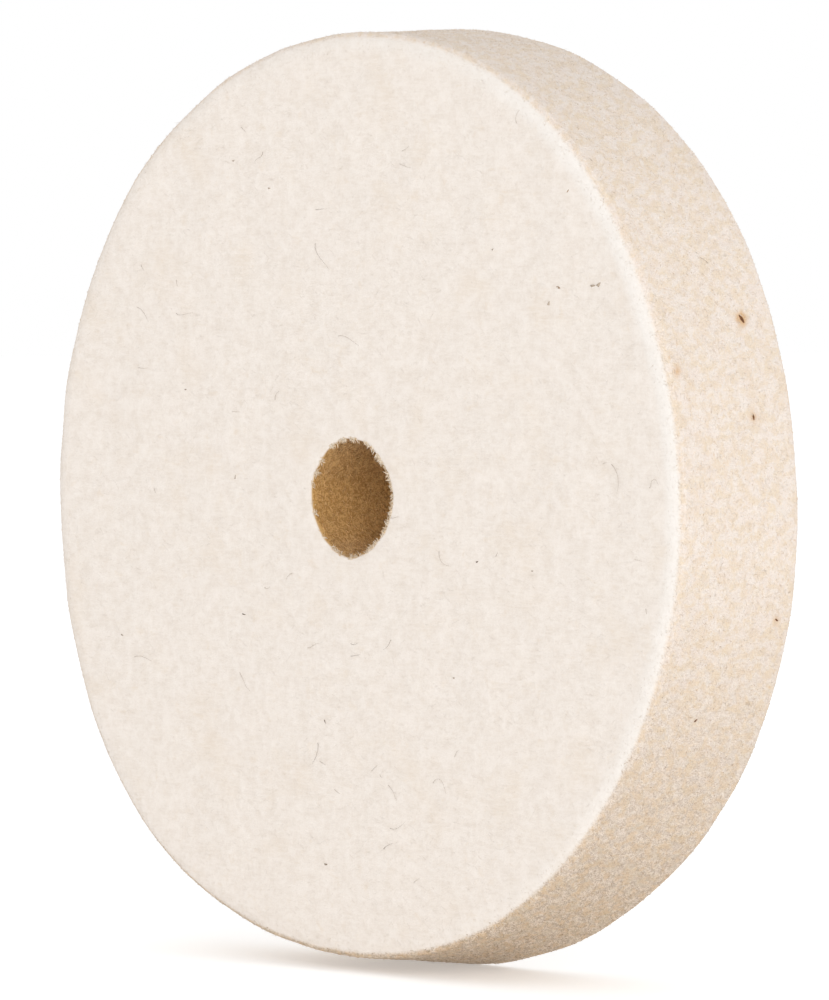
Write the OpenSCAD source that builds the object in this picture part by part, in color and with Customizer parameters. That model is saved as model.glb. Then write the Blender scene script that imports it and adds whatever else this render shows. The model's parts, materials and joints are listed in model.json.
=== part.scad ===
// Felt polishing wheel: a disc of hard pressed wool felt with a plain spindle hole.
// The wheel spins about Y, its front face looks along -Y, and the origin is its centre.

/* [Wheel] */
// Diameter over the rim
wheel_d = 150; // [75:1:250]
// Width of the rim, from face to face
wheel_w = 26; // [12:1:50]
// Radius of the soft shoulder where each face turns into the rim
shoulder_r = 1.5; // [0.5:0.1:3]

/* [Bore] */
// Diameter of the spindle hole
bore_d = 20; // [8:0.5:32]
// Radius of the lip at each mouth of the spindle hole
lip_r = 0.5; // [0.2:0.1:1]

/* [Plant slivers] */
// Length of the longest burr sliver in the wool
sliver_l = 2.2; // [1.5:0.1:3]
// Thickness of that sliver at its middle
sliver_d = 0.7; // [0.4:0.1:1]
// How deep a sliver's middle line lies, as a share of its own radius
sliver_depth = 0.4; // [0.2:0.1:0.7]

/* [Hidden] */

wheel_r = wheel_d / 2;
half_w = wheel_w / 2;
bore_r = bore_d / 2;

// How far under the surface the middle line of a sliver of that size lies.
function depth(size) = sliver_depth * size * sliver_d / 2;

// Each sliver in the rim: angle round the wheel, place across the width as a share of the half
// width, turn out of the rim's own direction, and size as a share of the longest sliver.
RIM_SLIVERS = [
    [22.5, 0.43, 25, 1.0],
    [10.5, 0.3, 5, 0.6],
    [-13.5, 0.7, 60, 0.5],
    [-26, -0.2, -40, 0.5],
    [96, -0.35, 15, 0.7],
    [128, 0.5, -20, 0.6],
    [163, -0.1, 35, 0.8],
    [205, 0.25, 10, 0.5],
    [238, -0.6, -50, 0.6],
    [270, 0.1, 20, 0.7]
];

// Each fleck in a face: angle round the wheel, distance from the centre as a share of the
// wheel's radius, turn in the face, size as for the rim, and side, -1 for the front face.
FACE_FLECKS = [
    [35, 0.8, 50, 0.6, -1],
    [202, 0.9, 150, 0.6, -1],
    [44, 0.95, 0, 0.4, -1],
    [52, 0.62, 20, 0.6, 1],
    [131, 0.85, 100, 0.7, 1],
    [224, 0.45, 65, 0.5, 1],
    [290, 0.74, 130, 0.6, 1]
];

// The wheel's section, with radius along X and width along Y.
module wheel_section() {
    translate([bore_r + lip_r, -half_w])
        square([wheel_r - shoulder_r - bore_r - lip_r, wheel_w]);
    translate([bore_r, lip_r - half_w])
        square([wheel_r / 2 - bore_r, wheel_w - 2 * lip_r]);
    translate([wheel_r / 2, shoulder_r - half_w])
        square([wheel_r / 2, wheel_w - 2 * shoulder_r]);
    for (side = [-1, 1]) {
        translate([bore_r + lip_r, side * (half_w - lip_r)])
            circle(r = lip_r, $fn = 32);
        translate([wheel_r - shoulder_r, side * (half_w - shoulder_r)])
            circle(r = shoulder_r, $fn = 48);
    }
}

// The whole disc with its shoulders and its bore, spinning about Y.
module wheel_disc() {
    rotate([90, 0, 0])
        rotate_extrude($fn = 256)
            wheel_section();
}

// One splinter of burr, pointed at both ends, along X.
module splinter(size) {
    half_l = size * sliver_l / 2;
    r = size * sliver_d / 2;
    rotate([0, 90, 0])
        rotate_extrude($fn = 24)
            polygon([
                [0, -half_l],
                [r * 0.7, -half_l / 2],
                [r, 0],
                [r * 0.7, half_l / 2],
                [0, half_l]
            ]);
}

// Every splinter in the rim, standing a little proud of it.
module rim_splinters() {
    for (s = RIM_SLIVERS)
        rotate([0, -s[0], 0])
            translate([wheel_r - depth(s[3]), s[1] * half_w, 0])
                rotate([s[2], 0, 0])
                    rotate([0, 90, 0])
                        splinter(s[3]);
}

// Every splinter in the two faces, not yet trimmed to them.
module face_splinters() {
    for (s = FACE_FLECKS)
        rotate([0, -s[0], 0])
            translate([s[1] * (wheel_r - shoulder_r), s[4] * (half_w - depth(s[3])), 0])
                rotate([0, s[2], 0])
                    splinter(s[3]);
}

// The pressed felt, with a pocket for each splinter.
module felt_wheel() {
    color("linen")
        difference() {
            wheel_disc();
            rim_splinters();
            face_splinters();
        }
}

// Burr slivers bedded in the rim, their backs standing out of the wool.
module rim_slivers() {
    color("saddlebrown")
        rim_splinters();
}

// Husk flecks bedded in the two faces and cut off flush with them.
module face_flecks() {
    color("peru")
        intersection() {
            face_splinters();
            cube([wheel_d, wheel_w, wheel_d], center = true);
        }
}

felt_wheel();
rim_slivers();
face_flecks();
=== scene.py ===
import json
import math

import bmesh
import bpy
import numpy as np
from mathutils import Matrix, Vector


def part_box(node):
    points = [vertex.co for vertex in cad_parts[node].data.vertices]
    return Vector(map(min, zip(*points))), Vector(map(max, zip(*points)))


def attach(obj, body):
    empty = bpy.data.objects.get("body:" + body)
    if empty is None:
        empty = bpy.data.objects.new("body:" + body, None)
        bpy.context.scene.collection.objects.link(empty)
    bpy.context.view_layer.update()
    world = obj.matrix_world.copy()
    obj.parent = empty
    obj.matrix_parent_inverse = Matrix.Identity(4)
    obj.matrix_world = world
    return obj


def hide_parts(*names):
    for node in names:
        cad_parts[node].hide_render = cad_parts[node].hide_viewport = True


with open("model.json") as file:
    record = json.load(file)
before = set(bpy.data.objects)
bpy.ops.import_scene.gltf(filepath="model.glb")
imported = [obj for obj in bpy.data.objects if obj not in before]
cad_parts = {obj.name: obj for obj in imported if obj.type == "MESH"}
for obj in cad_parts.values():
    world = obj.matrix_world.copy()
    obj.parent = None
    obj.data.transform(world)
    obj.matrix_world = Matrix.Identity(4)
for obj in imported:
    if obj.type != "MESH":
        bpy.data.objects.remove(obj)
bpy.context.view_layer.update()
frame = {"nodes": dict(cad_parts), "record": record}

MM = 0.001
rng = np.random.default_rng(1506)

# ---------------------------------------------------------------- camera
# A long lens a little over a metre away, to the right of the wheel's axis and just above
# its middle, looking at a point beside the centre of the spindle hole.
VIEW_AZIMUTH = math.radians(47.5)
VIEW_ELEVATION = math.radians(1.73)
VIEW_DISTANCE = 1.12
LENS_MM = 249.0
AIM_RIGHT = 0.59 * MM
AIM_DOWN = 0.62 * MM

camera_data = bpy.data.cameras.new("camera")
camera_data.lens = LENS_MM
camera = bpy.data.objects.new("camera", camera_data)
camera.location = (
    AIM_RIGHT * math.cos(VIEW_AZIMUTH) + VIEW_DISTANCE * math.sin(VIEW_AZIMUTH) * math.cos(VIEW_ELEVATION),
    AIM_RIGHT * math.sin(VIEW_AZIMUTH) - VIEW_DISTANCE * math.cos(VIEW_AZIMUTH) * math.cos(VIEW_ELEVATION),
    VIEW_DISTANCE * math.sin(VIEW_ELEVATION) - AIM_DOWN,
)
camera.rotation_euler = (math.pi / 2 - VIEW_ELEVATION, 0.0, VIEW_AZIMUTH)
bpy.context.scene.collection.objects.link(camera)
bpy.context.scene.camera = camera

# ---------------------------------------------------------------- felt wheel
# One thick disc cut from a block of hard pressed wool. The rim is turned, so cut wool ends show
# there, and the faces keep the smoother pressed skin, which rolls over softly at the edge. The
# spindle hole is bored through it and has browned, and the disc is a little out of round.
low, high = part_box("felt_wheel")
WHEEL_R = (high.x - low.x) / 2
HALF_W = (high.y - low.y) / 2
# Fur on the bored wall closes the hole by this much all round.
BORE_FUR = 0.6 * MM
BORE_R = frame["record"]["mounts"][0]["dims"]["r_mm"] * MM - BORE_FUR
ROLL_IN = 3.0 * MM
ROLL_DOWN = 1.4 * MM
LIP = 0.5 * MM
AROUND = 512
# Parts of the section, in order round it: where the arm's foot starts and ends (radius, y), the
# arm's reach outwards and along y, its angle at the start and the end, and the steps along it.
SECTION = {
    "front_face": ((BORE_R + LIP, -HALF_W), (WHEEL_R - ROLL_IN, -HALF_W), (0, 0), -90, -90, 56),
    "front_edge": ((WHEEL_R - ROLL_IN, ROLL_DOWN - HALF_W),) * 2 + ((ROLL_IN, ROLL_DOWN), -90, 0, 12),
    "rim": ((WHEEL_R, ROLL_DOWN - HALF_W), (WHEEL_R, HALF_W - ROLL_DOWN), (0, 0), 0, 0, 24),
    "back_edge": ((WHEEL_R - ROLL_IN, HALF_W - ROLL_DOWN),) * 2 + ((ROLL_IN, ROLL_DOWN), 0, 90, 12),
    "back_face": ((WHEEL_R - ROLL_IN, HALF_W), (BORE_R + LIP, HALF_W), (0, 0), 90, 90, 56),
    "back_lip": ((BORE_R + LIP, HALF_W - LIP),) * 2 + ((LIP, LIP), 90, 180, 3),
    "bore": ((BORE_R, HALF_W - LIP), (BORE_R, LIP - HALF_W), (0, 0), 180, 180, 24),
    "front_lip": ((BORE_R + LIP, LIP - HALF_W),) * 2 + ((LIP, LIP), 180, 270, 3),
}
# Slow waves of each edge round the wheel: lobes, rise in mm, and the turn of the first lobe.
FRONT_WAVES = ((2, 0.35, 60), (3, 0.35, -55), (4, 0.5, -170), (5, 0.25, 10), (6, 0.15, -55))
BACK_WAVES = ((2, 0.35, -75), (3, 0.3, 150), (4, 0.2, 15), (5, 0.5, -145))
BACK_FLARE = 1.1
BORE_WAVES = ((4, 0.14, 0), (3, 0.1, 30), (7, 0.07, 100), (11, 0.05, 0))
BORE_WAVE_REACH = 4 * MM
# Chance relief: plane waves 2.5 to 22 mm long, each as high as this share of its length.
RELIEF_WAVES = 48
RELIEF_SHARE = 0.0011
waves = rng.normal(size=(RELIEF_WAVES, 3))
wavelength = rng.uniform(2.5, 22, RELIEF_WAVES) * MM
waves *= (2 * math.pi / wavelength / np.linalg.norm(waves, axis=1))[:, None]
wave_phase = rng.uniform(0, 2 * math.pi, RELIEF_WAVES)
# The shoulders are painted paler, partly as whiter wool and partly as a painted highlight of the light
# from the front right, most toward this turn, from this far inside the rim to this far.
HIGHLIGHT_TURN = math.radians(20)
SHOULDER_BAND_START = 4.4 * MM
SHOULDER_BAND_FULL = 2.0 * MM
# Small brown stains in the rim, most of them round a burr: turn round the wheel in degrees, y in
# mm and how strong the stain is.
STAINS = ((22.5, 5.6, 1.0), (10.5, 3.9, 0.5), (-13.5, 9.1, 0.4), (16.2, -10.6, 0.5))
STAIN_SIZE = 1.1 * MM
# Painted shade begins this far below the middle, as a share of the radius, and is full after this much
# more: the rim is painted darker and tanner toward the bottom, as the shade of its dimly lit underside
# with some tan tint.
SHADE_BELOW_START = 0.1
SHADE_BELOW_SPAN = 0.85
SHADE_BELOW_POWER = 1.2
# Depths behind the face, in mm, where the brown of the hole begins and where it is full: first on
# the left of the hole, then on its right.
BROWN_BEGINS = (0.0, 0.35)
BROWN_FULL = (0.35, 1.3)


def on_section(part, u):
    """Radius, y and outward angle at share u of a part of the section.

    The arm's foot slides straight from start to end while the arm turns evenly, and the
    point is foot + (reach out x cos angle, reach along y x sin angle). The outward angle has
    the tangent reach out x sin angle / (reach along y x cos angle)."""
    start, end, (reach, depth), turn_from, turn_to, steps = SECTION[part]
    angle = np.radians(turn_from + (turn_to - turn_from) * u)
    radius = start[0] + (end[0] - start[0]) * u + reach * np.cos(angle)
    y = start[1] + (end[1] - start[1]) * u + depth * np.sin(angle)
    flatten = depth / reach if reach else 1.0
    return radius, y, np.arctan2(np.sin(angle), flatten * np.cos(angle))


def swell(table, theta):
    """Rise of an edge in metres: the sum of rise x cos(lobes x theta - turn)."""
    return sum(rise * MM * np.cos(lobes * theta - math.radians(turn)) for lobes, rise, turn in table)


def on_wheel(radius, y, angle, theta):
    """Points and outward directions of the felt at section places turned by theta.

    The radius grows by the waves of the two edges, mixed by the place across the width, times
    the square of the share of the way from bore to rim, and near the bore by the bore's waves.
    Each point then moves outwards by the sum of the plane waves, a x sin(k . p + phase), with
    a in proportion to the wavelength."""
    share = np.clip((radius - BORE_R) / (WHEEL_R - BORE_R), 0, 1) ** 2
    back = (y + HALF_W) / (2 * HALF_W)
    rise = (1 - back) * swell(FRONT_WAVES, theta) + back * (swell(BACK_WAVES, theta) + BACK_FLARE * MM)
    near_bore = np.clip(1 - (radius - BORE_R) / BORE_WAVE_REACH, 0, 1) ** 2
    radius = radius + share * rise + near_bore * swell(BORE_WAVES, theta)
    out = np.stack([np.cos(angle) * np.cos(theta), np.sin(angle), np.cos(angle) * np.sin(theta)], -1)
    point = np.stack([radius * np.cos(theta), y, radius * np.sin(theta)], -1)
    relief = np.zeros_like(radius)
    for wave, phase in zip(waves, wave_phase):
        relief += np.sin(point @ wave + phase) * 2 * math.pi / np.linalg.norm(wave)
    return point + out * (relief * RELIEF_SHARE)[..., None], out


def surface_mesh(name, grid, closed):
    """A mesh over a grid of points: each cell of four neighbours is one face, and a closed
    grid also joins its last row or column to its first."""
    rows, columns = grid.shape[:2]
    index = np.arange(rows * columns).reshape(rows, columns)
    if closed:
        index = np.pad(index, ((0, 1), (0, 1)), mode="wrap")
    cells = np.stack([index[:-1, :-1], index[1:, :-1], index[1:, 1:], index[:-1, 1:]], -1)
    mesh = bpy.data.meshes.new(name)
    mesh.from_pydata(grid.reshape(-1, 3), [], cells.reshape(-1, 4))
    mesh.polygons.foreach_set("use_smooth", np.ones(len(mesh.polygons), bool))
    mesh.update()
    return mesh


def add_piece(name, mesh, material, nodes=()):
    """Puts a finished mesh in the scene as one piece of the wheel, riding on its body."""
    piece = bpy.data.objects.new(name, mesh)
    bpy.context.scene.collection.objects.link(piece)
    mesh.materials.append(material)
    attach(piece, "root")
    for node in nodes:
        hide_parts(node)
    return piece


def set_attribute(mesh, name, values):
    """Stores one number for each vertex under that name, for a material to read."""
    layer = mesh.attributes.new(name, "FLOAT", "POINT")
    layer.data.foreach_set("value", np.asarray(values, np.float32).ravel())


def shade_and_tan_below(drop):
    """How much painted shade and tan tint the rim gets at that drop below the middle, as a share of the
    radius: nothing above the start of the shade, then ((drop - start) / span)^power, held at 1."""
    return np.clip((drop - SHADE_BELOW_START) / SHADE_BELOW_SPAN, 0, 1) ** SHADE_BELOW_POWER


section = [np.stack(on_section(part, np.arange(row[5]) / row[5])) for part, row in SECTION.items()]
section_radius, section_y, section_angle = np.concatenate(section, axis=1)
round_wheel = np.linspace(0, 2 * math.pi, AROUND, endpoint=False)
radius_grid, turn_grid = np.meshgrid(section_radius, round_wheel, indexing="ij")
y_grid = np.broadcast_to(section_y[:, None], radius_grid.shape)
angle_grid = np.broadcast_to(section_angle[:, None], radius_grid.shape)
felt_points, _ = on_wheel(radius_grid, y_grid, angle_grid, turn_grid)
felt_mesh = surface_mesh("felt_body", felt_points, closed=True)

# What the finish needs to know of each point: how far it is behind the plane of its face, in mm, how pale
# its shoulder is with its painted highlight, how browned and how stained it is, and how much painted shade
# and tan it gets low on the rim.
behind = (HALF_W - np.abs(y_grid)) / MM
on_rim = radius_grid > WHEEL_R / 2
set_attribute(felt_mesh, "depth", behind * on_rim)
# Painted highlight: the pale shoulder is strongest toward the front right, where the light falls.
toward_highlight = ((1 + np.cos(turn_grid - HIGHLIGHT_TURN)) / 2) ** 2
pale_edge_and_highlight = np.clip((radius_grid - WHEEL_R + SHOULDER_BAND_START) / (SHOULDER_BAND_START - SHOULDER_BAND_FULL), 0, 1) * toward_highlight
set_attribute(felt_mesh, "pale_edge_and_highlight", pale_edge_and_highlight)
right = (1 + np.cos(turn_grid)) / 2
begins = np.interp(right, (0, 1), BROWN_BEGINS)
full = np.interp(right, (0, 1), BROWN_FULL)
browned = np.clip((behind - begins) / (full - begins), 0, 1)
set_attribute(felt_mesh, "browned", browned * (radius_grid < BORE_R + LIP))
stained = np.zeros(turn_grid.shape)
for stain_turn, stain_y, strength in STAINS:
    around = (turn_grid - math.radians(stain_turn) + math.pi) % (2 * math.pi) - math.pi
    gap = np.hypot(WHEEL_R * around, y_grid - stain_y * MM)
    stained = np.maximum(stained, strength * np.exp(-((gap / STAIN_SIZE) ** 2)))
set_attribute(felt_mesh, "stained", stained * on_rim)
# Painted shade: the rim gets darker and tanner toward the bottom, where its underside gets less light.
set_attribute(felt_mesh, "shaded_and_tanned_below", shade_and_tan_below(-radius_grid * np.sin(turn_grid) / WHEEL_R))


class Maker:
    """Adds nodes to one material and wires each new node to the ones it reads."""

    def __init__(self, name):
        self.material = bpy.data.materials.new(name)
        self.material.use_nodes = True
        self.tree = self.material.node_tree
        self.shader = self.tree.nodes["Principled BSDF"]
        self.place = self.tree.nodes.new("ShaderNodeTexCoord").outputs["Object"]

    def link(self, source, socket):
        """Wires source into socket if it is another node's output, or else sets its value."""
        if isinstance(source, bpy.types.NodeSocket):
            self.tree.links.new(source, socket)
        else:
            socket.default_value = source

    def attribute(self, name):
        """The number stored on the mesh under that name."""
        node = self.tree.nodes.new("ShaderNodeAttribute")
        node.attribute_name = name
        return node.outputs["Fac"]

    def noise(self, blob, detail=2.0, rough=0.5, stretch=(1, 1, 1), turn=0.0, warp=0.0):
        """Cloudy noise, 0 to 1, with blobs of that size in mm, drawn out along an axis by
        stretch, the axes being turned back about z by turn."""
        turned_place = self.tree.nodes.new("ShaderNodeVectorRotate")
        turned_place.rotation_type = "Z_AXIS"
        turned_place.inputs["Angle"].default_value = turn
        self.tree.links.new(self.place, turned_place.inputs["Vector"])
        mapping = self.tree.nodes.new("ShaderNodeMapping")
        self.tree.links.new(turned_place.outputs["Vector"], mapping.inputs["Vector"])
        mapping.inputs["Scale"].default_value = [1 / (blob * MM * s) for s in stretch]
        node = self.tree.nodes.new("ShaderNodeTexNoise")
        node.inputs["Scale"].default_value = 1.0
        node.inputs["Detail"].default_value = detail
        node.inputs["Roughness"].default_value = rough
        node.inputs["Distortion"].default_value = warp
        self.tree.links.new(mapping.outputs["Vector"], node.inputs["Vector"])
        return node.outputs["Fac"]

    def span(self, source, low, high, to_low=0.0, to_high=1.0):
        """Source stretched so that low to high becomes to_low to to_high, held at both ends."""
        node = self.tree.nodes.new("ShaderNodeMapRange")
        node.interpolation_type = "SMOOTHSTEP"
        self.link(source, node.inputs["Value"])
        for value, socket in ((low, 1), (high, 2), (to_low, 3), (to_high, 4)):
            node.inputs[socket].default_value = value
        return node.outputs["Result"]

    def math(self, operation, a, b):
        """One sum on two numbers or outputs."""
        node = self.tree.nodes.new("ShaderNodeMath")
        node.operation = operation
        self.link(a, node.inputs[0])
        self.link(b, node.inputs[1])
        return node.outputs[0]

    def mix(self, share, a, b, blend="MIX"):
        """Colour a where share is 0 and colour b, or a blended with b, where it is 1."""
        node = self.tree.nodes.new("ShaderNodeMix")
        node.data_type = "RGBA"
        node.blend_type = blend
        self.link(share, node.inputs["Factor"])
        self.link(a, node.inputs["A"])
        self.link(b, node.inputs["B"])
        return node.outputs["Result"]

    def bump(self, height, depth_mm, strength=1.0, under=None):
        """Turns a height from 0 to 1 into small relief of that depth."""
        node = self.tree.nodes.new("ShaderNodeBump")
        node.inputs["Strength"].default_value = strength
        node.inputs["Distance"].default_value = depth_mm * MM
        self.link(height, node.inputs["Height"])
        if under is not None:
            self.link(under, node.inputs["Normal"])
        return node.outputs["Normal"]

    def finish(self, colour, roughness, normal=None, sheen=0.0, shine=0.15):
        """Wires the colour and the relief into the shader and returns the material."""
        self.link(colour, self.shader.inputs["Base Color"])
        self.shader.inputs["Roughness"].default_value = roughness
        self.shader.inputs["Specular IOR Level"].default_value = shine
        self.shader.inputs["Sheen Weight"].default_value = sheen
        self.shader.inputs["Sheen Roughness"].default_value = 0.6
        if normal is not None:
            self.link(normal, self.shader.inputs["Normal"])
        return self.material


WOOL_WHITE = (0.755, 0.695, 0.64, 1)
WOOL_CREAM = (0.66, 0.588, 0.52, 1)
WOOL_TAN = (0.665, 0.57, 0.47, 1)
EDGE_PALE_AND_HIGHLIGHT = (0.77, 0.745, 0.715, 1)
RIM_PALE = (0.795, 0.715, 0.645, 1)
RIM_PINK = (0.75, 0.63, 0.555, 1)
RIM_TAN = (0.745, 0.62, 0.475, 1)
RIM_RUST = (0.64, 0.44, 0.27, 1)
BURR_STAIN = (0.62, 0.39, 0.20, 1)
# Multipliers for the painted shade low on the rim: pale, deep in the pits between clumps, olive and brown.
SHADE_BELOW_PALE = (0.94, 0.885, 0.80, 1)
SHADE_BELOW_DEEP = (0.52, 0.435, 0.335, 1)
SHADE_BELOW_OLIVE = (0.70, 0.64, 0.50, 1)
SHADE_BELOW_BROWN = (0.78, 0.65, 0.48, 1)
BORE_AMBER = (0.50, 0.33, 0.155, 1)
BORE_TAN = (0.55, 0.325, 0.115, 1)
BORE_BROWN = (0.35, 0.185, 0.05, 1)
# The pressed skin ends this far behind the face, in mm, its end wanders by this much, and it gives
# way to the turned wool over this much to either side.
SKIN_END = 0.5
SKIN_WANDER = 0.5
SKIN_FADE = 0.2
# Speckle and blotches are drawn out along one level line through the block, turned this far back
# from x, so that they keep an even size where the rim is seen on the slant.
DRAWN_TURN = math.radians(42.5)
DRAWN_OUT = (2.5, 1, 1)

felt = Maker("pressed_wool")
clouds = felt.noise(9, detail=3)
mottle = felt.noise(2.6, detail=5, rough=0.8)
blots = felt.noise(1.9, detail=3, rough=0.6, stretch=DRAWN_OUT, turn=DRAWN_TURN, warp=0.5)
patches = felt.noise(1.4, detail=2, rough=0.55, stretch=DRAWN_OUT, turn=DRAWN_TURN, warp=0.4)
grain = felt.noise(0.3, detail=3, rough=0.8)
speckle = felt.noise(0.22, detail=1, stretch=DRAWN_OUT, turn=DRAWN_TURN)
streaks = felt.noise(0.45, detail=2, rough=0.7, stretch=(6, 1, 1))
specks = felt.noise(1.0, detail=1)
wander = felt.math("MULTIPLY", felt.math("SUBTRACT", grain, 0.5), SKIN_WANDER)
skin_depth = felt.math("ADD", felt.attribute("depth"), wander)
turned = felt.span(skin_depth, SKIN_END - SKIN_FADE, SKIN_END + SKIN_FADE)
face_colour = felt.mix(felt.span(mottle, 0.28, 0.72), WOOL_CREAM, WOOL_WHITE)
face_colour = felt.mix(felt.span(clouds, 0.5, 0.8, 0, 0.5), face_colour, WOOL_TAN)
face_colour = felt.mix(felt.span(blots, 0.56, 0.8, 0, 0.6), face_colour, WOOL_TAN)
face_colour = felt.mix(felt.span(streaks, 0.4, 0.7, 0, 0.45), face_colour, WOOL_WHITE)
# Paler wool at the shoulders, with a painted highlight toward the front right.
face_colour = felt.mix(felt.span(felt.attribute("pale_edge_and_highlight"), 0.0, 1.0, 0, 0.5), face_colour, EDGE_PALE_AND_HIGHLIGHT)
rim_colour = felt.mix(felt.span(patches, 0.36, 0.66), RIM_PALE, RIM_TAN)
rim_colour = felt.mix(felt.span(mottle, 0.3, 0.7, 0.5, 0), rim_colour, RIM_PINK)
rim_colour = felt.mix(felt.span(specks, 0.7, 0.84, 0, 0.55), rim_colour, RIM_RUST)
rim_colour = felt.mix(felt.span(grain, 0.52, 0.75, 0, 0.4), rim_colour, RIM_PALE)
# Dark and light speckle: partly the wool's own tone, partly painted shade in the pits between cut ends and
# painted highlight on their tips.
rim_colour = felt.mix(felt.span(speckle, 0.3, 0.45, 0.2, 0), rim_colour, RIM_RUST)
rim_colour = felt.mix(felt.span(speckle, 0.55, 0.7, 0, 0.35), rim_colour, WOOL_WHITE)
tufted = felt.noise(0.7, detail=2, stretch=DRAWN_OUT, turn=DRAWN_TURN)
clumps = felt.math("ADD", speckle, felt.math("MULTIPLY", tufted, 0.8))
# Painted shade low on the rim, deepest in the pits between clumps of cut ends.
shade_below_colour = felt.mix(felt.span(clumps, 0.72, 1.08), SHADE_BELOW_DEEP, SHADE_BELOW_PALE)
shade_below_colour = felt.mix(felt.span(blots, 0.48, 0.62, 0, 0.5), shade_below_colour, SHADE_BELOW_OLIVE)
shade_below_colour = felt.mix(felt.span(patches, 0.5, 0.62, 0, 0.55), shade_below_colour, SHADE_BELOW_BROWN)
shade_below_mix = felt.mix(felt.attribute("shaded_and_tanned_below"), (1, 1, 1, 1), shade_below_colour)
rim_colour = felt.mix(1.0, rim_colour, shade_below_mix, blend="MULTIPLY")
stain_share = felt.span(felt.attribute("stained"), 0.03, 0.6, 0, 0.9)
rim_colour = felt.mix(stain_share, rim_colour, BURR_STAIN)
wool = felt.mix(turned, face_colour, rim_colour)
bore_colour = felt.mix(felt.span(clumps, 0.75, 1.05), BORE_BROWN, BORE_TAN)
brown_share = felt.attribute("browned")
wool = felt.mix(felt.span(brown_share, 0.0, 0.5), wool, BORE_AMBER)
wool = felt.mix(felt.span(brown_share, 0.3, 1.0), wool, bore_colour)
coarse = felt.math("ADD", felt.math("MULTIPLY", turned, 0.75), 0.25)
relief = felt.bump(felt.math("MULTIPLY", felt.math("SUBTRACT", grain, 0.5), coarse), 0.2)
relief = felt.bump(felt.math("MULTIPLY", felt.math("SUBTRACT", mottle, 0.5), coarse), 0.4, under=relief)
felt_material = felt.finish(wool, 0.95, relief, sheen=0.15)
add_piece("felt_body", felt_mesh, felt_material, ["felt_wheel"])

# ---------------------------------------------------------------- loose wool at the edges
# Where the pressed skin of a face ends and the turned rim begins, cut wool ends stand out of
# the shoulder as a short pale fringe.


def fibre_mesh(name, lines, width, tones, up):
    """One closed thread along each line of points, three-sided, tapering to a point.

    A corner of the thread at a station is centre + r x (cos a x side + sin a x over), where side
    and over cross the thread, a is 0, 120 or 240 degrees and r = width / 2 x sqrt(1 - 0.9 t)."""
    count, stations = lines.shape[:2]
    along = np.gradient(lines, axis=1)
    along /= np.linalg.norm(along, axis=2, keepdims=True)
    side = np.cross(along, up[:, None, :])
    side /= np.linalg.norm(side, axis=2, keepdims=True) + 1e-12
    over = np.cross(along, side)
    t = np.linspace(0, 1, stations)[:-1]
    r = width[:, None] / 2 * np.sqrt(1 - t * 0.9)
    a = np.radians([0, 120, 240])
    ring = side[:, :-1, None] * np.cos(a)[:, None] + over[:, :-1, None] * np.sin(a)[:, None]
    corners = lines[:, :-1, None] + ring * r[:, :, None, None]
    rings = stations - 1
    points = np.concatenate([corners.reshape(count, rings * 3, 3), lines[:, -1:]], 1)
    first = np.arange(rings - 1)[:, None] * 3 + np.arange(3)
    following = np.arange(rings - 1)[:, None] * 3 + (np.arange(3) + 1) % 3
    sides = np.stack([first, following, following + 3, first + 3], -1).reshape(-1, 4)
    last = (rings - 1) * 3
    caps = np.array([[2, 1, 0], [last, last + 1, last + 3], [last + 1, last + 2, last + 3],
                     [last + 2, last, last + 3]])
    shift = (np.arange(count) * (rings * 3 + 1))[:, None, None]
    faces = (sides[None] + shift).reshape(-1, 4).tolist() + (caps[None] + shift).reshape(-1, 3).tolist()
    mesh = bpy.data.meshes.new(name)
    mesh.from_pydata(points.reshape(-1, 3), [], faces)
    mesh.polygons.foreach_set("use_smooth", np.ones(len(mesh.polygons), bool))
    mesh.update()
    set_attribute(mesh, "tone", np.repeat(tones, rings * 3 + 1))
    return mesh


def wool_lines(roots, out, heading, length, rise, curl, stations=5, sink=0.1):
    """Centre lines of wool fibres that leave the felt at a root and bend over.

    A point is root + length x (t cos(rise) x heading + (t sin(rise) - sink) x out
    + curl t^2 x side - rise t^2 / 4 x out), with side square to heading and out."""
    side = np.cross(out, heading)
    t = np.linspace(0, 1, stations)[None, :, None]
    length, rise, curl = length[:, None, None], rise[:, None, None], curl[:, None, None]
    path = t * np.cos(rise) * heading[:, None] + curl * t**2 * side[:, None]
    path = path + (t * np.sin(rise) - sink - rise * t**2 / 4) * out[:, None]
    return roots[:, None] + length * path


def headings(out, theta, turn):
    """Directions lying in the surface, turned by that angle from the way round the wheel."""
    way_round = np.stack([-np.sin(theta), np.zeros_like(theta), np.cos(theta)], -1)
    across = np.cross(out, way_round)
    return np.cos(turn)[:, None] * way_round + np.sin(turn)[:, None] * across


def scatter(part, count, low=0.0, high=1.0):
    """Roots spread by chance over a part of the section, and over a face evenly by area: the
    radius is sqrt(first^2 + (last^2 - first^2) x share)."""
    u = rng.uniform(low, high, count)
    if part.endswith("face"):
        first, last = SECTION[part][0][0], SECTION[part][1][0]
        u = (np.sqrt(first**2 + (last**2 - first**2) * u) - first) / (last - first)
    theta = rng.uniform(0, 2 * math.pi, count)
    radius, y, angle = on_section(part, u)
    roots, out = on_wheel(radius, y, angle, theta)
    return roots, out, theta


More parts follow.
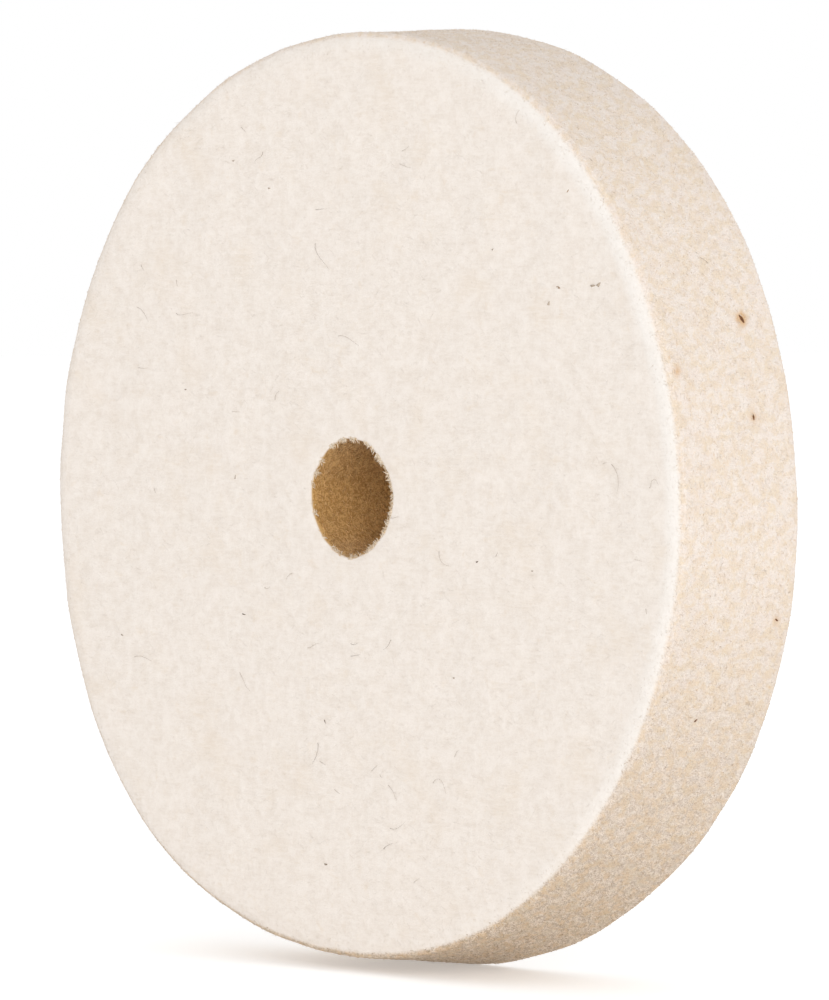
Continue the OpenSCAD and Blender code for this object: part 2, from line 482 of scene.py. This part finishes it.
pale_fibre = Maker("pale_wool_fibre")
fibre_tone = pale_fibre.mix(pale_fibre.attribute("tone"), (0.66, 0.58, 0.49, 1), (0.78, 0.73, 0.68, 1))
pale_fibre_material = pale_fibre.finish(fibre_tone, 0.8, sheen=0.1)
FRINGE = 4500
for side_name, low_share, high_share in (("front", 0, 0.75), ("back", 0.25, 1)):
    roots, out, theta = scatter(side_name + "_edge", FRINGE, low_share, high_share)
    lines = wool_lines(roots, out, headings(out, theta, rng.uniform(0, 2 * math.pi, FRINGE)),
                       rng.uniform(0.25, 0.65, FRINGE) * MM, rng.uniform(0.05, 0.4, FRINGE),
                       rng.normal(0, 0.3, FRINGE))
    fringe = fibre_mesh(side_name + "_edge_fringe", lines, rng.uniform(0.04, 0.09, FRINGE) * MM,
                        rng.uniform(0, 1, FRINGE), out)
    add_piece(side_name + "_edge_fringe", fringe, pale_fibre_material)

# ---------------------------------------------------------------- nap of the rim
# The turned rim is rougher than the faces: cut wool lies over it in every direction, from
# white to tan, and short cut ends stand up out of it.
rim_fibre = Maker("rim_wool_fibre")
rim_tone = rim_fibre.mix(rim_fibre.attribute("tone"), (0.67, 0.54, 0.42, 1), (0.81, 0.745, 0.67, 1))
# Fibres low on the rim take the same painted shade and tan as the felt under them.
fibre_shade_below = rim_fibre.mix(rim_fibre.attribute("tone"), (0.48, 0.40, 0.30, 1), (1.0, 0.97, 0.9, 1))
rim_tone = rim_fibre.mix(rim_fibre.attribute("shaded_and_tanned_below"), rim_tone, fibre_shade_below, blend="MULTIPLY")
rim_fibre_material = rim_fibre.finish(rim_tone, 0.8, sheen=0.1)


def shade_fibres_below(mesh):
    """Stores how much painted shade and tan each thread gets, by the drop of its points below the middle.
    """
    points = np.empty(len(mesh.vertices) * 3)
    mesh.vertices.foreach_get("co", points)
    set_attribute(mesh, "shaded_and_tanned_below", shade_and_tan_below(-points[2::3] / WHEEL_R))


RIM_NAP = 6500
roots, out, theta = scatter("rim", RIM_NAP)
lines = wool_lines(roots, out, headings(out, theta, rng.uniform(0, 2 * math.pi, RIM_NAP)),
                   rng.uniform(0.4, 1.1, RIM_NAP) * MM, rng.uniform(0.05, 0.3, RIM_NAP),
                   rng.normal(0, 0.5, RIM_NAP), sink=0.02)
rim_nap = fibre_mesh("rim_nap", lines, rng.uniform(0.04, 0.09, RIM_NAP) * MM,
                     rng.uniform(0.35, 1, RIM_NAP), out)
shade_fibres_below(rim_nap)
add_piece("rim_nap", rim_nap, rim_fibre_material)
CUT_ENDS = 19000
SHOULDER_ENDS = 1200
parts = (scatter("rim", CUT_ENDS - 2 * SHOULDER_ENDS), scatter("front_edge", SHOULDER_ENDS, 0.45, 1),
         scatter("back_edge", SHOULDER_ENDS, 0, 0.55))
roots, out, theta = (np.concatenate(columns) for columns in zip(*parts))
lines = wool_lines(roots, out, headings(out, theta, rng.uniform(0, 2 * math.pi, CUT_ENDS)),
                   rng.uniform(0.15, 0.42, CUT_ENDS) * MM, rng.uniform(0.4, 1.45, CUT_ENDS),
                   rng.normal(0, 0.3, CUT_ENDS), stations=3)
cut_ends = fibre_mesh("rim_cut_ends", lines, rng.uniform(0.08, 0.18, CUT_ENDS) * MM,
                      rng.uniform(0, 1, CUT_ENDS), out)
shade_fibres_below(cut_ends)
add_piece("rim_cut_ends", cut_ends, rim_fibre_material)

# ---------------------------------------------------------------- nap of the faces
# Fine wool lies flat on the pressed skin of both faces, brushed mostly along x, with as many
# threads rooted at one end as at the other.
FACE_NAP = 8500
for side_name in ("front", "back"):
    roots, out, theta = scatter(side_name + "_face", FACE_NAP)
    lean = rng.normal(0, 0.4, FACE_NAP) + math.pi * rng.integers(0, 2, FACE_NAP)
    heading = np.stack([np.cos(lean), np.zeros(FACE_NAP), np.sin(lean)], -1)
    lines = wool_lines(roots, out, heading, rng.uniform(0.8, 2.2, FACE_NAP) * MM,
                       rng.uniform(0.01, 0.12, FACE_NAP), rng.normal(0, 0.25, FACE_NAP), sink=0.02)
    nap = fibre_mesh(side_name + "_face_nap", lines, rng.uniform(0.02, 0.045, FACE_NAP) * MM,
                     rng.uniform(0.5, 1, FACE_NAP), out)
    add_piece(side_name + "_face_nap", nap, pale_fibre_material)

# ---------------------------------------------------------------- wool in the spindle hole
# The bored wall is furred with browned wool, and the ends of the face's wool stick in over the
# two mouths of the hole.
brown_fibre = Maker("browned_wool_fibre")
brown_tone = brown_fibre.mix(brown_fibre.attribute("tone"), (0.33, 0.175, 0.05, 1), (0.82, 0.54, 0.27, 1))
brown_fibre_material = brown_fibre.finish(brown_tone, 0.9, shine=0.05)
BORE_NAP = 7000
roots, out, theta = scatter("bore", BORE_NAP)
lean = rng.normal(0.3, 0.7, BORE_NAP) + math.pi * rng.integers(0, 2, BORE_NAP)
lines = wool_lines(roots, out, headings(out, theta, lean), rng.uniform(0.5, 1.5, BORE_NAP) * MM,
                   rng.uniform(0.05, 0.5, BORE_NAP), rng.normal(0, 0.2, BORE_NAP))
bore_nap = fibre_mesh("bore_nap", lines, rng.uniform(0.08, 0.17, BORE_NAP) * MM,
                      rng.uniform(0, 1, BORE_NAP) ** 1.2, out)
add_piece("bore_nap", bore_nap, brown_fibre_material)
# Paler ends curl in over both lips all the way round, in clumps, thickest on the right.
tuft_wool = Maker("lip_tuft_wool")
tuft_tone = tuft_wool.mix(tuft_wool.attribute("tone"), (0.66, 0.49, 0.30, 1), (0.86, 0.77, 0.65, 1))
tuft_material = tuft_wool.finish(tuft_tone, 0.9, shine=0.05)
LIP_TUFTS = 900
LIP_CLUMPS = 120
THICK_TURN = -0.4
THICK_SHARE = 0.4
for side_name in ("front", "back"):
    thick = rng.normal(THICK_TURN, 0.9, LIP_CLUMPS)
    in_thick = rng.uniform(0, 1, LIP_CLUMPS) < THICK_SHARE
    clump = np.where(in_thick, thick, rng.uniform(0, 2 * math.pi, LIP_CLUMPS))
    theta = rng.choice(clump, LIP_TUFTS) + rng.normal(0, 0.025, LIP_TUFTS)
    radius, y, angle = on_section(side_name + "_lip", rng.uniform(0.05, 0.95, LIP_TUFTS))
    roots, out = on_wheel(radius, y, angle, theta)
    way_round = headings(out, theta, np.zeros(LIP_TUFTS))
    inward = np.stack([-np.cos(theta), rng.normal(0, 0.35, LIP_TUFTS), -np.sin(theta)], -1)
    inward += 0.6 * rng.normal(size=(LIP_TUFTS, 1)) * way_round
    inward /= np.linalg.norm(inward, axis=1, keepdims=True)
    square = np.cross(inward, way_round)
    square /= np.linalg.norm(square, axis=1, keepdims=True)
    lines = wool_lines(roots, square, inward, rng.uniform(0.2, 0.9, LIP_TUFTS) * MM,
                       rng.normal(0, 0.2, LIP_TUFTS), rng.normal(0, 0.5, LIP_TUFTS), sink=0.0)
    tufts = fibre_mesh(side_name + "_lip_tufts", lines, rng.uniform(0.09, 0.19, LIP_TUFTS) * MM,
                       rng.uniform(0, 1, LIP_TUFTS), square)
    add_piece(side_name + "_lip_tufts", tufts, tuft_material)

# ---------------------------------------------------------------- burr slivers and husk flecks
# Dry plant matter that came in with the fleece: dark splinters of burr in the rim, and lighter
# flakes of husk cut off flush in the faces.
burr = Maker("dry_burr")
burr_grain = burr.noise(0.15, detail=2, stretch=(1, 1, 4))
burr_colour = burr.mix(burr.span(burr_grain, 0.3, 0.7), (0.05, 0.02, 0.01, 1), (0.22, 0.09, 0.03, 1))
burr_material = burr.finish(burr_colour, 0.6, burr.bump(burr_grain, 0.05, 0.5))
husk = Maker("dry_husk")
husk_grain = husk.noise(0.2, detail=2)
husk_colour = husk.mix(husk.span(husk_grain, 0.3, 0.7), (0.22, 0.14, 0.09, 1), (0.5, 0.38, 0.27, 1))
husk_material = husk.finish(husk_colour, 0.7, husk.bump(husk_grain, 0.03, 0.4))
RIM_REACH = 1.5 * MM


def carried(mesh):
    """A copy of a mesh designed on the true disc, moved as the waves move the felt under it.

    Each point goes where on_wheel puts its radius, y and turn, with the outward direction of the
    nearer face, or of the rim for a point within RIM_REACH of the rim."""
    merged = bmesh.new()
    merged.from_mesh(mesh)
    bmesh.ops.remove_doubles(merged, verts=merged.verts, dist=0.001 * MM)
    mesh = bpy.data.meshes.new(mesh.name + "_carried")
    merged.to_mesh(mesh)
    merged.free()
    points = np.empty(len(mesh.vertices) * 3)
    mesh.vertices.foreach_get("co", points)
    x, y, z = points.reshape(-1, 3).T
    radius = np.hypot(x, z)
    to_face = np.where(radius < WHEEL_R - RIM_REACH, np.sign(y) * math.pi / 2, 0.0)
    moved, _ = on_wheel(radius, y, to_face, np.arctan2(z, x))
    mesh.vertices.foreach_set("co", moved.ravel())
    mesh.update()
    return mesh


for node, name, slot, material in (("rim_slivers", "burr_slivers", "burr", burr_material),
                                   ("face_flecks", "husk_flecks", "husk", husk_material)):
    pieces = carried(frame["nodes"][node].data)
    add_piece(name, pieces, material, [node])

# ---------------------------------------------------------------- guard hairs
# Coarse dark hairs of the fleece, felted in with the wool, lying curled and hooked on the faces
# and the rim, most of them only a few millimetres long.
# Each hair on the front: x and z of its root in mm, length in mm, the way it runs in degrees,
# how far it bends over its length, how far it is hooked at its root, and how dark it is.
FRONT_HAIRS = (
    (-27, 60, 1.6, -40, 0, 60, 0.3), (-21.5, 56, 3, -155, 0, 95, 0.3),
    (-8.5, 46.5, 2.2, 0, 5, 0, 0.8), (-8.5, 41, 5.8, -30, -15, -85, 0.65),
    (-52, 37.5, 1.3, -50, 0, 0, 0.6), (-43, 35, 1.1, -75, 0, 0, 0.2),
    (-53, 30.5, 4.3, -10, -55, 0, 0.45), (-43, 29.5, 4.4, 8, 0, -45, 0.5),
    (-3, 26, 5.7, 5, -40, 0, 0.35), (-53, 20.5, 2.6, 0, 0, 0, 0.2),
    (-18.5, 15.5, 2, 90, -70, 0, 0.45), (12, 55.5, 1.9, 20, 10, 0, 0.3),
    (11.5, 53.5, 3.1, -25, 25, 0, 0.2), (38.5, 59, 2.5, 105, -60, 0, 0.2),
    (-29, 13.5, 1.9, 0, 0, 0, 0.25), (-49, 0.5, 0.9, -60, 0, 0, 0.3), (9.5, -3, 2.1, 0, 10, 0, 0.4),
    (-14, -12.5, 2.2, -165, 40, 0, 0.3), (-21, -15, 1.6, -35, 80, 0, 0.35),
    (-53.5, -27.5, 4.9, 15, -40, 0, 0.3), (0, -23.5, 1.9, -25, 60, 0, 0.9),
    (0, -25.5, 2.3, -15, 45, 0, 0.9), (-10.5, -24.5, 3.1, 15, 0, 0, 0.2),
    (9.5, -22.5, 2.7, -115, -40, 0, 0.35), (-27, -29, 4.3, -65, 35, 0, 0.1),
    (-8, -40, 4, -65, -85, 0, 0.8), (-7.5, -43, 1.7, -20, 0, 0, 0.35),
    (5, -44, 1.8, 35, 0, 0, 0.65), (7, -44.5, 0.8, -40, 0, 0, 0.4), (9, -46, 3.6, -40, -20, 0, 0.4),
    (-4, -47.5, 1.6, -25, 0, 0, 0.3), (9.5, -53, 3.9, -10, 50, 0, 0.55),
    (8, -56.5, 2.6, 35, -20, 0, 0.95), (19.5, -45, 5, 40, -120, 0, 0.3),
    (24.5, -40.5, 1.7, 45, 0, 0, 0.5), (15, -61.5, 1.7, 30, 0, 0, 0.3),
    (58, 6.5, 1, 15, 0, 0, 0.35), (60, 6.5, 5.8, -28, -88, 0, 0.3),
    (68.5, 3, 3.4, 150, -224, -150, 0.25), (21, -8, 4, -80, 70, 0, 0.35),
    (34, -8.5, 0.8, 55, 0, 0, 0.5), (65, -8, 1.8, -10, 0, 0, 0.25),
    (67.5, -15.5, 0.9, -75, 0, 0, 0.3),
)
# Each hair on the side of the rim that faces front right: angle round the wheel, y in mm, length
# in mm, the way it runs from straight round the wheel, its bend, its hook and how dark it is.
RIM_HAIRS = (
    (29.7, 2.2, 2.1, 50, 10, 0, 0.45), (-6.5, -3.6, 1.7, 110, 100, 0, 0.3),
    (45, -10.8, 0.7, 20, 0, 0, 0.7), (17.3, -12.3, 0.6, 60, 0, 0, 0.5),
    (-24, 2.5, 1.4, 30, 60, 0, 0.15), (-40, 5, 1.6, 100, 40, 0, 0.2),
)
HAIR_WIDTH = 0.06 * MM
HAIR_CLEAR = 0.04 * MM


def hair_lines(roots, out, heading, length, bend, hook, stations=9):
    """Centre lines of hairs lying on the felt.

    A hair's heading turns by bend x (3 t^2 - 2 t^3) + hook x (1 - t)^4 + a small chance wave as
    it runs, and the line is the sum of its steps; it starts just clear of the felt and rises
    from it by a twentieth of its length at its middle."""
    side = np.cross(out, heading)
    t = np.linspace(0, 1, stations)
    waver = rng.normal(0, 0.12, (len(roots), 1))
    waver = waver * np.sin(2 * math.pi * (t + rng.uniform(0, 1, (len(roots), 1))))
    turn = np.radians(bend[:, None] * t**2 * (3 - 2 * t) + hook[:, None] * (1 - t) ** 4) + waver
    steps = np.cos(turn)[..., None] * heading[:, None] + np.sin(turn)[..., None] * side[:, None]
    run = np.cumsum(steps, axis=1) - steps[:, :1]
    lift = 0.01 + 0.05 * np.sin(math.pi * t)
    roots = roots + HAIR_CLEAR * out
    return roots[:, None] + length[:, None, None] * (run / (stations - 1) + lift[:, None] * out[:, None])


def on_front(x, z, way):
    """Places on the front face at x and z in mm: the point on the felt, its outward direction, and
    the level direction that runs at way degrees from x toward z."""
    flat = np.full(len(x), -HALF_W), np.full(len(x), -math.pi / 2)
    roots, out = on_wheel(np.hypot(x, z) * MM, *flat, np.arctan2(z, x))
    way = np.radians(way)
    return roots, out, np.stack([np.cos(way), np.zeros(len(x)), np.sin(way)], -1)


guard_hair = Maker("dark_guard_hair")
guard_tone = guard_hair.mix(guard_hair.attribute("tone"), (0.50, 0.42, 0.33, 1), (0.13, 0.09, 0.06, 1))
guard_hair_material = guard_hair.finish(guard_tone, 0.55)
x, z, length, way, bend, hook, dark = np.array(FRONT_HAIRS, float).T
roots, out, heading = on_front(x, z, way)
lines = hair_lines(roots, out, heading, length * MM, bend, hook)
front_hairs = fibre_mesh("front_guard_hairs", lines, np.full(len(x), HAIR_WIDTH), dark, out)
add_piece("front_guard_hairs", front_hairs, guard_hair_material)
CHANCE_HAIRS = 16
turn, y, length, way, bend, hook, dark = np.array(RIM_HAIRS, float).T
chance = rng.uniform(95, 265, CHANCE_HAIRS)
theta = np.radians(np.concatenate([turn, chance]))
y = np.concatenate([y, rng.uniform(-10, 10, CHANCE_HAIRS)]) * MM
roots, out = on_wheel(np.full(len(theta), WHEEL_R), y, np.zeros(len(theta)), theta)
way = np.radians(np.concatenate([way, rng.uniform(0, 360, CHANCE_HAIRS)]))
lines = hair_lines(roots, out, headings(out, theta, way),
                   np.concatenate([length, rng.uniform(1, 4, CHANCE_HAIRS)]) * MM,
                   np.concatenate([bend, rng.normal(0, 60, CHANCE_HAIRS)]),
                   np.concatenate([hook, rng.normal(0, 40, CHANCE_HAIRS)]))
rim_hairs = fibre_mesh("rim_guard_hairs", lines, np.full(len(theta), HAIR_WIDTH),
                       np.concatenate([dark, rng.uniform(0.1, 0.9, CHANCE_HAIRS)]), out)
add_piece("rim_guard_hairs", rim_hairs, guard_hair_material)
BACK_HAIRS = 36
roots, out, theta = scatter("back_face", BACK_HAIRS, 0.02, 0.98)
lines = hair_lines(roots, out, headings(out, theta, rng.uniform(0, 2 * math.pi, BACK_HAIRS)),
                   rng.uniform(1, 5, BACK_HAIRS) * MM, rng.normal(0, 60, BACK_HAIRS),
                   rng.normal(0, 40, BACK_HAIRS))
back_hairs = fibre_mesh("back_guard_hairs", lines, np.full(BACK_HAIRS, HAIR_WIDTH),
                        rng.uniform(0.1, 0.9, BACK_HAIRS), out)
add_piece("back_guard_hairs", back_hairs, guard_hair_material)

# ---------------------------------------------------------------- husk crumbs
# Crumbs of husk and grit too small to have a place in the design, pressed level with the wool of
# the front face.
# Each crumb on the front: x and z in mm, length and width in mm, the way it lies, how dark it is.
FRONT_CRUMBS = (
    (-26.5, -19.5, 0.9, 0.35, -10, 0.9), (29.5, -9.5, 0.5, 0.35, 20, 0.8),
    (-6.5, -60, 0.7, 0.5, 0, 0.5), (33, 39.5, 0.4, 0.3, 30, 0.5),
    (-6.5, -36.2, 0.7, 0.35, -65, 0.7), (-41, 17, 0.4, 0.35, 0, 0.45),
    (-28.5, 2.5, 0.8, 0.3, 80, 0.4), (-29, 54.5, 0.5, 0.35, 10, 0.35),
    (-57, -24, 0.6, 0.4, -20, 0.35), (42, -10.5, 0.4, 0.3, 0, 0.4), (55.5, 34, 1.1, 0.6, 5, 0.3),
    (57, 34, 0.9, 0.7, 40, 0.2), (24, -28, 0.5, 0.4, 0, 0.35), (-20, 50, 0.5, 0.4, 0, 0.3),
    (46, 31, 0.7, 0.5, 70, 0.15),
)
crumb = Maker("husk_crumb")
crumb_tone = crumb.mix(crumb.attribute("tone"), (0.52, 0.43, 0.34, 1), (0.09, 0.06, 0.045, 1))
crumb_material = crumb.finish(crumb_tone, 0.7, crumb.bump(crumb.noise(0.1), 0.02, 0.4))
x, z, length, width, way, dark = np.array(FRONT_CRUMBS, float).T
roots, out, heading = on_front(x, z, way)
lines = wool_lines(roots, out, heading, length * MM, np.full(len(x), 0.02), np.zeros(len(x)), sink=0.05)
crumbs = fibre_mesh("front_husk_crumbs", lines, width * MM, dark, out)
add_piece("front_husk_crumbs", crumbs, crumb_material)

# ---------------------------------------------------------------- floor and light
# A pale sweep for the wheel to stand on, with even white light all round and one broad soft
# light from the front right.
FLOOR_HALF = 8.0
floor_z = felt_points[..., 2].min()
floor_mesh = bpy.data.meshes.new("floor")
corners = [(x * FLOOR_HALF, y * FLOOR_HALF, floor_z) for x, y in ((-1, -1), (1, -1), (1, 1), (-1, 1))]
floor_mesh.from_pydata(corners, [], [(0, 1, 2, 3)])
floor = bpy.data.objects.new("floor", floor_mesh)
bpy.context.scene.collection.objects.link(floor)
paper = Maker("pale_paper")
paper_tone = paper.mix(paper.noise(40, detail=2), (0.86, 0.86, 0.86, 1), (0.88, 0.88, 0.88, 1))
paper.shader.inputs["Emission Color"].default_value = (1, 1, 1, 1)
paper.shader.inputs["Emission Strength"].default_value = 0.3
floor_mesh.materials.append(paper.finish(paper_tone, 0.9))

world = bpy.data.worlds.new("studio")
bpy.context.scene.world = world
world.use_nodes = True
sky = world.node_tree
height = sky.nodes.new("ShaderNodeSeparateXYZ")
sky.links.new(sky.nodes.new("ShaderNodeTexCoord").outputs["Generated"], height.inputs["Vector"])
dim = sky.nodes.new("ShaderNodeMapRange")
for value, socket in ((0.15, 1), (0.9, 2), (1.0, 3), (0.8, 4)):
    dim.inputs[socket].default_value = value
sky.links.new(height.outputs["Z"], dim.inputs["Value"])
sky.links.new(dim.outputs["Result"], sky.nodes["Background"].inputs["Strength"])
sky.nodes["Background"].inputs["Color"].default_value = (1, 1, 1, 1)
bpy.context.scene.view_settings.view_transform = "Standard"

softbox_data = bpy.data.lights.new("softbox", "AREA")
softbox_data.shape = "RECTANGLE"
softbox_data.size = 1.6
softbox_data.size_y = 1.6
softbox_data.energy = 48.0
softbox = bpy.data.objects.new("softbox", softbox_data)
softbox.location = (2.7, -1.8, 0.6)
softbox.rotation_euler = (math.radians(80), 0.0, math.radians(56))
bpy.context.scene.collection.objects.link(softbox)
